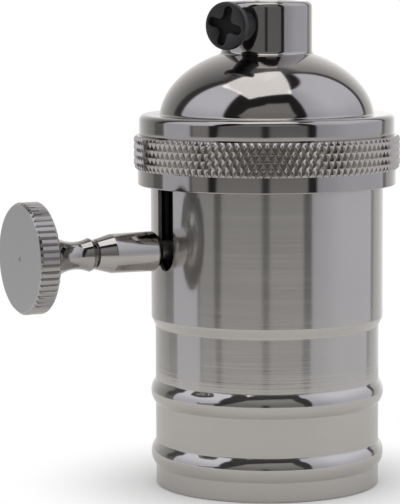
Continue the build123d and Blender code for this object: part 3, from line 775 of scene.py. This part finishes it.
def shell_outline():
    """The shell's closed half outline, outside upward from the rim and back down inside."""
    def side(inset):
        foot_r, top_r = SHELL_R - SHELL_STEP - inset, SHELL_R - inset
        curve_r = ((BEAD_WIDTH / 2) ** 2 + BEAD_RISE ** 2) / (2 * BEAD_RISE)
        centre_r = foot_r + BEAD_RISE - curve_r + inset
        half = math.sqrt((curve_r - inset) ** 2 - (foot_r - centre_r) ** 2)
        drawn_turn = BEAD_ARC_SHARE * math.degrees(math.asin(half / (curve_r - inset)))
        corners = []
        for bead in BEADS:
            corners.append((foot_r, bead - half, BEAD_FOOT_ROUND))
            corners.extend(arc((centre_r, bead), curve_r - inset, -drawn_turn, drawn_turn, steps=16))
            corners.append((foot_r, bead + half, BEAD_FOOT_ROUND))
        corners.append((foot_r, STEP_TOP - STEP_HEIGHT, STEP_ROUND))
        corners.append((top_r, STEP_TOP, STEP_ROUND))
        rows = int(SHELL_TOP - STEP_TOP) - 1
        corners.extend((top_r, STRAIGHT_START + row, 0) for row in range(rows))
        return corners, foot_r, top_r

    outside, foot_r, top_r = side(0)
    inside, inner_foot_r, inner_top_r = side(SHELL_WALL)
    corners = [(inner_foot_r, 0, SHELL_EDGE_ROUND), (foot_r, 0, SHELL_EDGE_ROUND), *outside]
    corners.extend([(top_r, SHELL_TOP, 0), (inner_top_r, SHELL_TOP, 0), *reversed(inside)])
    return softened(corners)


def slot_cutter():
    """Bar of the slot's outline through one side of the wall, round at its foot and open past the top."""
    half = SLOT_WIDTH / 2
    middle = SPINDLE_HEIGHT - SLOT_DROP + half
    outline = [point[:2] for point in arc((0, middle), half, 180, 360, steps=48)]
    outline += [(half, SHELL_TOP + CUT_OVERSHOOT), (-half, SHELL_TOP + CUT_OVERSHOOT)]
    return prism("slot", outline, SLOT_CUT_START, SLOT_CUT_END, facing(SLOT_TURN))


def knob_outline():
    """The knob's closed half outline as (radius, reach), from the stem's bore round to the face."""
    def waist(reach):
        return WAIST_R + WAIST_CURVE_R - math.sqrt(WAIST_CURVE_R ** 2 - (reach - WAIST_REACH) ** 2)

    collar = STEM_END + STEM_BEVEL
    back = KNOB_REACH - KNOB_WIDTH
    run = FLARE_REACH - collar
    curve_steps = 32
    chamfer_steps = 6
    curve = [
        (waist(collar + run * step / curve_steps), collar + run * step / curve_steps, 0)
        for step in range(1, curve_steps + 1)
    ]
    flare_r = waist(FLARE_REACH)
    slope = (FLARE_REACH - WAIST_REACH) / (WAIST_R + WAIST_CURVE_R - flare_r)
    chamfer = [
        (
            KNOB_R - KNOB_CHAMFER + KNOB_CHAMFER * step / chamfer_steps,
            KNOB_REACH - KNOB_CHAMFER * step / chamfer_steps, 0,
        )
        for step in range(chamfer_steps, -1, -1)
    ]
    corners = [
        (SPINDLE_R, STEM_END, 0), (STEM_END_R, STEM_END, EDGE_ROUND), (waist(collar), collar, 0), *curve,
        (flare_r + slope * (back - FLARE_REACH), back, 0), (KNOB_R - KNOB_BACK_CHAMFER, back, 0),
        (KNOB_R, back + KNOB_BACK_CHAMFER, 0), (KNOB_R, back + 2 * KNOB_BACK_CHAMFER, 0), *chamfer,
        *((radius, KNOB_REACH, 0) for radius in (*FACE_RINGS, CENTRE_MARK_R)),
        (CENTRE_MARK_R - CENTRE_MARK_SLOPE, KNOB_REACH - CENTRE_MARK_DEPTH, 0),
        (0, KNOB_REACH - CENTRE_MARK_DEPTH, 0), (0, STEM_END + STEM_BORE_DEPTH, 0),
        (SPINDLE_R, STEM_END + STEM_BORE_DEPTH, 0),
    ]
    return softened(corners)


def sleeve_outline():
    """The sleeve's closed half outline as (radius, reach), from its bore at the back to its nose."""
    corners = [
        (SPINDLE_R, SLEEVE_BACK, 0), (SLEEVE_BACK_R, SLEEVE_BACK, EDGE_ROUND),
        (SLEEVE_R, SLEEVE_BACK + SLEEVE_BEVEL, SLEEVE_SHOULDER_ROUND),
        (SLEEVE_TAPER_R, SLEEVE_NOSE - SLEEVE_NOSE_LENGTH, SLEEVE_TAPER_ROUND),
        (SLEEVE_NOSE_R, SLEEVE_NOSE, SLEEVE_NOSE_ROUND), (SPINDLE_R, SLEEVE_NOSE, 0),
    ]
    return softened(corners)


def along_spindle():
    """Place whose local Z runs out along the spindle."""
    return Matrix(((0, 0, -1, 0), (0, 1, 0, 0), (1, 0, 0, SPINDLE_HEIGHT), (0, 0, 0, 1)))


def toothed_knob(sizes):
    """The knob, its rim cut by straight V grooves."""
    pitch = 2 * math.pi / sizes.knob_teeth
    half_groove = TOOTH_GAP_SHARE * pitch / 2
    angles = []
    half_way = 0.5 * half_groove
    offsets = (0.0, half_way, half_groove, pitch / 2, pitch - half_groove, pitch - half_way)
    for tooth in range(sizes.knob_teeth):
        angles.extend(tooth * pitch + offset for offset in offsets)

    def reach_at(radius, height, angle):
        if radius < KNOB_R - KNOB_CHAMFER - NEARLY_NOTHING:
            return radius
        off = abs((angle + pitch / 2) % pitch - pitch / 2)
        groove_r = KNOB_R - TOOTH_DEPTH * max(0.0, 1 - off / half_groove)
        return min(radius, groove_r)

    return turned("turned_knob", knob_outline(), angles, along_spindle(), reach_at)


def cross_cutter():
    """Bar of the cross recess, its ends round and its inner corners filleted."""
    half = CROSS_WIDTH / 2
    end = CROSS_LENGTH / 2 - half
    corner = half + CROSS_ROUND
    outline = []
    for quarter in range(4):
        turn = Matrix.Rotation(math.radians(90 * quarter - CROSS_TURN), 2)
        tip = arc((end, 0), half, -90, 90, steps=10)
        fillet = arc((corner, corner), CROSS_ROUND, 270, 180, steps=8)
        outline += [tuple(turn @ Vector(point[:2])) for point in tip + fillet]
    place = facing(GRIP_ANGLE, GRIP_HEAD_REACH, GRIP_HEIGHT)
    return prism("cross", outline, -CROSS_DEPTH, CUT_OVERSHOOT, place)


class LAMP_SOCKET_OT_cap(bpy.types.Operator):
    """Turn the cap, roll its diamond knurl and drill the neck"""
    bl_idname = "lamp_socket.cap"
    bl_label = "Cap"

    def execute(self, context):
        sizes, colours = context.scene.socket_sizes, context.scene.socket_colours
        piece = turned("turned_cap", cap_outline(), evenly(sizes.turned_steps))
        hole = [(0, 0), (GRIP_HOLE_R, 0), (GRIP_HOLE_R, GRIP_DRILL_DEPTH), (0, GRIP_DRILL_DEPTH)]
        cut(piece, turned("drill", hole, evenly(64), facing(GRIP_ANGLE, 0.0, GRIP_HEIGHT)))
        joined(piece, knurled_band(sizes))
        dress(piece, polished_plate(colours.plate), "cap", "cap")
        return {"FINISHED"}


class LAMP_SOCKET_OT_shell(bpy.types.Operator):
    """Draw the shell with its step and beads, and cut its slot"""
    bl_idname = "lamp_socket.shell"
    bl_label = "Shell"

    def execute(self, context):
        sizes, colours = context.scene.socket_sizes, context.scene.socket_colours
        piece = turned("drawn_shell", shell_outline(), evenly(sizes.turned_steps))
        cut(piece, slot_cutter())
        dress(piece, brushed_plate(colours.brushed), "socket", "shell")
        piece.data.materials.append(cut_sheet(colours.cut_edge))
        mark_cut_edge(piece)
        return {"FINISHED"}


def mark_cut_edge(piece):
    """Gives the faces that the slot's punch left their bare metal."""
    out = facing(SLOT_TURN).to_3x3() @ Vector((0, 0, 1))
    for face in piece.data.polygons:
        place = face.center / MM
        radius = math.hypot(place.x, place.y)
        in_wall = SHELL_R - SHELL_WALL + CUT_MARGIN < radius < SHELL_R - CUT_MARGIN
        in_straight = STRAIGHT_START < place.z < SHELL_TOP - CUT_MARGIN / 2
        if in_wall and in_straight and place.dot(out) > 0:
            face.material_index = 1


class LAMP_SOCKET_OT_knob(bpy.types.Operator):
    """Turn the knob with its teeth, and the sleeve behind it"""
    bl_idname = "lamp_socket.knob"
    bl_label = "Knob and Sleeve"

    def execute(self, context):
        sizes, colours = context.scene.socket_sizes, context.scene.socket_colours
        dress(toothed_knob(sizes), knob_plate(colours.plate), "knob", "knob")
        sleeve = turned("turned_sleeve", sleeve_outline(), evenly(sizes.turned_steps // 2), along_spindle())
        # the sleeve's plate is the same plate made 12 percent lighter: painted light
        sleeve_plate_painted_light = polished_plate(shade(colours.plate, 1.12), "sleeve_plate_painted_light")
        dress(sleeve, sleeve_plate_painted_light, "knob", "knob_sleeve")
        return {"FINISHED"}


class LAMP_SOCKET_OT_grip_screw(bpy.types.Operator):
    """Mould the cord grip screw with its cross recess"""
    bl_idname = "lamp_socket.grip_screw"
    bl_label = "Cord Grip Screw"

    def execute(self, context):
        sizes, colours = context.scene.socket_sizes, context.scene.socket_colours
        back = -GRIP_HEAD_HEIGHT
        tip = GRIP_SHANK_END - GRIP_HEAD_REACH
        corners = [
            (0, 0, 0), (GRIP_HEAD_R, 0, GRIP_HEAD_ROUND), (GRIP_HEAD_R, back, GRIP_HEAD_ROUND),
            (GRIP_SHANK_R, back, EDGE_BREAK), (GRIP_SHANK_R, tip, GRIP_TIP_ROUND), (0, tip, 0),
        ]
        place = facing(GRIP_ANGLE, GRIP_HEAD_REACH, GRIP_HEIGHT)
        piece = turned("moulded_grip_screw", softened(corners), evenly(sizes.turned_steps // 2), place)
        cut(piece, cross_cutter())
        eased(piece, EDGE_BREAK)
        crisp(piece)
        material = moulded("grip_plastic", colours.plastic, 0.30, 0.15)
        dress(piece, material, "cord_grip_screw", "cord_grip_screw")
        # the recess gets the plastic at 30 percent of its colour: painted shade in the cross recess
        piece.data.materials.append(moulded("grip_recess_painted_shade", shade(colours.plastic, 0.3), 0.75, 0.10))
        mark_recess(piece)
        return {"FINISHED"}


def mark_recess(piece):
    """Gives the cross recess its unpolished skin, darkened with painted shade."""
    place = facing(GRIP_ANGLE, GRIP_HEAD_REACH, GRIP_HEIGHT).inverted()
    for face in piece.data.polygons:
        centre = place @ (face.center / MM)
        in_depth = -CROSS_DEPTH - EDGE_BREAK / 2 < centre.z < -RECESS_LIP
        if in_depth and math.hypot(centre.x, centre.y) < GRIP_HEAD_R - RECESS_MARGIN:
            face.material_index = 1


class LAMP_SOCKET_OT_inside(bpy.types.Operator):
    """Finish the liner, the switch and the lamp's contacts"""
    bl_idname = "lamp_socket.inside"
    bl_label = "Inside Pieces"

    def execute(self, context):
        colours = context.scene.socket_colours
        phenolic = moulded("phenolic", colours.phenolic, 0.24, 0.35)
        strip = worked_metal("brass_strip", colours.brass, 0.24, (8.0, 1.0, 1.0), 0.000002)
        turned_brass = worked_metal("turned_brass", colours.brass, 0.22, (1.0, 1.0, 12.0), 0.000002)
        plated = worked_metal("plated_steel", colours.steel, 0.28, (5.0, 5.0, 5.0), 0.000004)
        rolled = worked_metal("rolled_aluminium", colours.aluminium, 0.26, (0.3, 0.3, 10.0), 0.000003)
        ground = worked_metal("ground_steel", colours.steel, 0.20, (12.0, 0.3, 0.3), 0.000002)
        finishes = {
            "insulating_liner": fibre_sheet(colours.fibre),
            "switch_housing": phenolic, "switch_rotor": phenolic, "lamp_base": phenolic,
            "bridge_contact": strip, "detent_spring": strip, "line_contact": strip, "lamp_contact": strip,
            "neutral_strap": strip, "centre_contact": strip,
            "centre_rivet": turned_brass, "shell_rivets": turned_brass, "terminal_screws": turned_brass,
            "clamp_plates": plated, "core_screws": plated,
            "screw_shell": rolled, "spindle": ground, "spindle_clip": ground,
        }
        for node, material in finishes.items():
            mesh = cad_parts[node].data
            mesh.materials.clear()
            mesh.materials.append(material)
        return {"FINISHED"}


# Floor, in millimetres
FLOOR_R = 120.0
FLOOR_TOP = -0.05
FLOOR_BOTTOM = -1.0

# Overhead lamp: its height, size and place in metres as the camera sees them, its turn in degrees
LAMP_HEIGHT = 0.65
LAMP_WIDTH = 0.455
LAMP_DEPTH = 0.46
LAMP_RIGHT = -0.058
LAMP_NEAR = 0.10
LAMP_TURN = 20.0

# The studio as bright metal sees it, in degrees: sides are turns from the camera, and a top, edge or
# fade is the stretch over which a light changes
LIFT_EDGE = (0.0, 35.0)
LEFT_SHEET_SIDES = (-105.0, -49.0)
LEFT_SHEET_TOP = (60.0, 66.0)
LEFT_SHEET_LOW_CUT = 23.0
LEFT_SHEET_LOW_EDGE = (0.0, 8.0)
RIGHT_SHEET_SIDES = (45.0, 129.0)
RIGHT_SHEET_TOP = (66.0, 69.0)
RIGHT_SHEET_LEAN = 0.22
RIGHT_SHEET_FADE = (45.0, 85.0)
ROOM_SIDES = (-42.0, 36.5)
ROOM_TOP = (44.0, 48.0)
ROOM_LEAN = 0.57
ROOM_LOW_EDGE = (-7.0, -3.0)
STAND_SIDES = (-4.5, 2.5)
STAND_TOP = (6.0, 10.0)
TABLE_SIDES = (-70.0, -53.0)
TABLE_TOP = (4.0, 8.0)
LEFT_CLOTH_EDGE = (-122.0, -116.0)
LEFT_CLOTH_FADE = (-180.0, -112.0)
RIGHT_CLOTH_FADE = (126.0, 178.0)
CLOTH_FADE = (5.0, 60.0)
CLOTH_TOP = (56.0, 66.0)
LEFT_GAP_SIDES = (-118.0, -103.0)
FLOOR_EDGE = (-12.5, -6.5)

# Levels of the studio's darker parts, where 1 is white, and the tints of its light
DARK_LEVEL = 0.025
TABLE_LEVEL = 0.30
FLOOR_LEVEL = 0.68
SHEET_TINT = (0.95, 0.965, 1.06)
ROOM_TINT = (1.0, 0.995, 0.985)


def studio_light(pen, heading):
    """The studio as the bright metal sees it: a light sheet each side, a dark front with the camera's
    stand in its middle, and cloths behind.

    Turn is in degrees from the camera, positive to its right, and rise in degrees above the level.
    """
    way = pen.node("ShaderNodeTexCoord", output="Generated")
    toward = (math.cos(heading), math.sin(heading), 0.0)
    rightward = (-math.sin(heading), math.cos(heading), 0.0)
    front = pen.vectors("DOT_PRODUCT", way, toward, output="Value")
    right = pen.vectors("DOT_PRODUCT", way, rightward, output="Value")
    up = coordinate(way, "Z")
    turn = right.maths("ARCTAN2", right, front) * math.degrees(1)
    rise = up.maths("ARCSINE", up) * math.degrees(1)
    lifted = rise.above(*LIFT_EDGE)

    left_side, left_rim = LEFT_SHEET_SIDES
    left_rim -= LEFT_SHEET_LOW_CUT * rise.below(*LEFT_SHEET_LOW_EDGE)
    right_side, right_rim = RIGHT_SHEET_SIDES
    right_rim += RIGHT_SHEET_LEAN * rise
    left_sheet = turn.within(left_side, left_rim, soft=2.0) * rise.below(*LEFT_SHEET_TOP)
    right_sheet = turn.within(right_side, right_rim - 3.0, soft=1.2) * rise.below(*RIGHT_SHEET_TOP)
    left_level = 0.68 + 0.32 * lifted
    right_level = (0.70 + 0.28 * lifted) * (0.74 + 0.26 * turn.above(*RIGHT_SHEET_FADE))

    room_left, room_right = ROOM_SIDES
    room_left = room_left + ROOM_LEAN * rise + 16.0 * rise.above(35.0, 45.0)
    room = turn.within(room_left, room_right - 7.0 * lifted, soft=1.5) * rise.below(*ROOM_TOP)
    stand = turn.within(*STAND_SIDES, soft=2.0) * rise.below(*STAND_TOP)
    room_glow = (0.18 + 0.14 * lifted + 0.17 * rise.below(*ROOM_LOW_EDGE)) * (1 - 0.9 * stand)
    table = turn.within(*TABLE_SIDES, soft=1.5) * rise.below(*TABLE_TOP)

    left_cloth = turn.below(*LEFT_CLOTH_EDGE) * (0.28 + 0.60 * turn.below(*LEFT_CLOTH_FADE))
    right_cloth = turn.above(right_rim + 1.5, right_rim + 5.0)
    right_cloth = right_cloth * (0.50 + 0.60 * turn.above(*RIGHT_CLOTH_FADE))
    cloth = (left_cloth + right_cloth) * (1 - 0.45 * rise.above(*CLOTH_FADE))
    cloth = cloth * (1 - 0.7 * rise.above(*CLOTH_TOP))

    left_gap = turn.within(*LEFT_GAP_SIDES, soft=1.0)
    right_gap = turn.within(right_rim - 4.0, right_rim + 3.0, soft=1.5)
    gap_glow = (0.16 - 0.12 * rise.above(0.0, 12.0)) * (left_gap + 1.5 * right_gap)
    dark = DARK_LEVEL + TABLE_LEVEL * table + gap_glow + room * room_glow + cloth
    sheets = left_sheet * left_level + right_sheet * right_level
    lit = rise.above(*FLOOR_EDGE)
    walls = tinted(pen, ROOM_TINT, dark * lit + FLOOR_LEVEL * (1 - lit))
    return pen.vectors("ADD", walls, tinted(pen, SHEET_TINT, sheets * lit))


def tinted(pen, tint, level):
    """Light of this tint at a level."""
    return pen.node("ShaderNodeVectorMath", {"operation": "SCALE"}, {0: tint, "Scale": level})


def write_world(studio):
    """White behind the socket, a studio for its bright metal, and a plain level for the rest."""
    world = bpy.data.worlds.new("studio_room")
    bpy.context.scene.world = world
    world.use_nodes = True
    world.node_tree.nodes.clear()
    pen = Wire(world.node_tree)
    seen = pen.node("ShaderNodeLightPath", output="Is Camera Ray")
    glossy = pen.node("ShaderNodeLightPath", output="Is Glossy Ray")
    level = (studio.room_level,) * 3
    colour = mix(pen, glossy, level, studio_light(pen, studio.heading))
    colour = mix(pen, seen, colour, (1.0, 1.0, 1.0))
    shine = pen.node("ShaderNodeBackground", {}, {"Color": colour, "Strength": 1.0})
    pen.node("ShaderNodeOutputWorld", {}, {"Surface": shine})


def floor_finish():
    """Pale floor that keeps the socket's shadow and is plain white further out; where the metal mirrors it,
    it is darker, a painted reflection.
    """
    def write(pen):
        place = pen.node("ShaderNodeTexCoord", output="Object")
        out = pen.vectors("LENGTH", place, output="Value")
        seen = pen.node("ShaderNodeLightPath", output="Is Camera Ray")
        mirrored = pen.node("ShaderNodeLightPath", output="Is Glossy Ray")
        grain = noise(pen, place, 900.0)
        pale = mix(pen, grain, (0.93, 0.93, 0.93), (0.96, 0.96, 0.96))
        plain = principled(pen, {
            # darker for glossy rays: a painted reflection of the floor in the metal
            "Base Color": mix(pen, mirrored, pale, (0.79, 0.78, 0.77)),
            "Roughness": 0.7 + 0.1 * grain,
            "Specular IOR Level": 0.1,
        })
        white = pen.node("ShaderNodeEmission", {}, {"Color": (1.0, 1.0, 1.0, 1.0), "Strength": 1.0})
        return pen.node("ShaderNodeMixShader", {}, {0: seen * out.above(0.018, 0.042), 1: plain, 2: white})
    return finish("pale_floor", write)


def hang_lamp(scene, studio):
    """Hangs the soft light overhead."""
    lamp = bpy.data.lights.new("top_light", "AREA")
    lamp.shape = "RECTANGLE"
    lamp.size = LAMP_WIDTH
    lamp.size_y = LAMP_DEPTH
    lamp.energy = studio.top_power
    lamp.color = (1.0, 0.99, 0.975)
    hung = bpy.data.objects.new("top_light", lamp)
    facing_camera = Matrix.Rotation(studio.heading + math.radians(90.0), 4, "Z")
    place = Matrix.Translation((LAMP_RIGHT, -LAMP_NEAR, LAMP_HEIGHT))
    hung.matrix_world = facing_camera @ place @ Matrix.Rotation(math.radians(LAMP_TURN), 4, "Z")
    scene.collection.objects.link(hung)


def set_camera(scene, studio):
    """Sets the camera where the photograph was taken from."""
    view = bpy.data.cameras.new("camera")
    view.sensor_fit = "VERTICAL"
    view.sensor_height = 36.0
    view.lens = studio.lens
    view.clip_start = 0.01
    eye = bpy.data.objects.new("camera", view)
    turn = Matrix.Rotation(studio.heading + math.radians(90) + studio.framing_turn, 4, "Z")
    tip = Matrix.Rotation(math.radians(90) - studio.pitch, 4, "X")
    roll = Matrix.Rotation(studio.roll, 4, "Z")
    away = Vector((
        math.cos(studio.heading) * math.cos(studio.pitch),
        math.sin(studio.heading) * math.cos(studio.pitch), math.sin(studio.pitch),
    ))
    place = Vector((0, 0, studio.aim_height)) + away * studio.distance
    eye.matrix_world = Matrix.Translation(place) @ turn @ tip @ roll
    scene.collection.objects.link(eye)
    scene.camera = eye


class LAMP_SOCKET_OT_studio(bpy.types.Operator):
    """Set the floor, the soft light overhead, the room and the camera"""
    bl_idname = "lamp_socket.studio"
    bl_label = "Studio"

    def execute(self, context):
        scene, studio = context.scene, context.scene.studio_settings
        scene.view_settings.view_transform = "Standard"
        slab = [(0, FLOOR_TOP), (FLOOR_R, FLOOR_TOP), (FLOOR_R, FLOOR_BOTTOM), (0, FLOOR_BOTTOM)]
        floor = turned("floor", slab, evenly(96))
        floor.data.materials.append(floor_finish())
        hang_lamp(scene, studio)
        write_world(studio)
        set_camera(scene, studio)
        return {"FINISHED"}


STEPS = ("cap", "shell", "knob", "grip_screw", "inside", "studio")


class LAMP_SOCKET_PT_panel(bpy.types.Panel):
    """Sizes, colours and steps of the lamp socket"""
    bl_idname = "LAMP_SOCKET_PT_panel"
    bl_label = "Lamp Socket"
    bl_space_type = "VIEW_3D"
    bl_region_type = "UI"
    bl_category = "Lamp Socket"

    def draw(self, context):
        layout, scene = self.layout, context.scene
        for settings in (scene.socket_sizes, scene.socket_colours, scene.studio_settings):
            box = layout.box()
            for name in settings.__annotations__:
                box.prop(settings, name)
        for step in STEPS:
            layout.operator(f"lamp_socket.{step}")


CLASSES = (
    SocketSizes, SocketColours, StudioSettings,
    LAMP_SOCKET_OT_cap, LAMP_SOCKET_OT_shell, LAMP_SOCKET_OT_knob,
    LAMP_SOCKET_OT_grip_screw, LAMP_SOCKET_OT_inside, LAMP_SOCKET_OT_studio,
    LAMP_SOCKET_PT_panel,
)


def register():
    for each in CLASSES:
        bpy.utils.register_class(each)
    bpy.types.Scene.socket_sizes = PointerProperty(type=SocketSizes)
    bpy.types.Scene.socket_colours = PointerProperty(type=SocketColours)
    bpy.types.Scene.studio_settings = PointerProperty(type=StudioSettings)


def unregister():
    del bpy.types.Scene.studio_settings
    del bpy.types.Scene.socket_colours
    del bpy.types.Scene.socket_sizes
    for each in reversed(CLASSES):
        bpy.utils.unregister_class(each)


def main():
    register()
    for step in STEPS:
        getattr(bpy.ops.lamp_socket, step)()


if __name__ == "__main__":
    main()
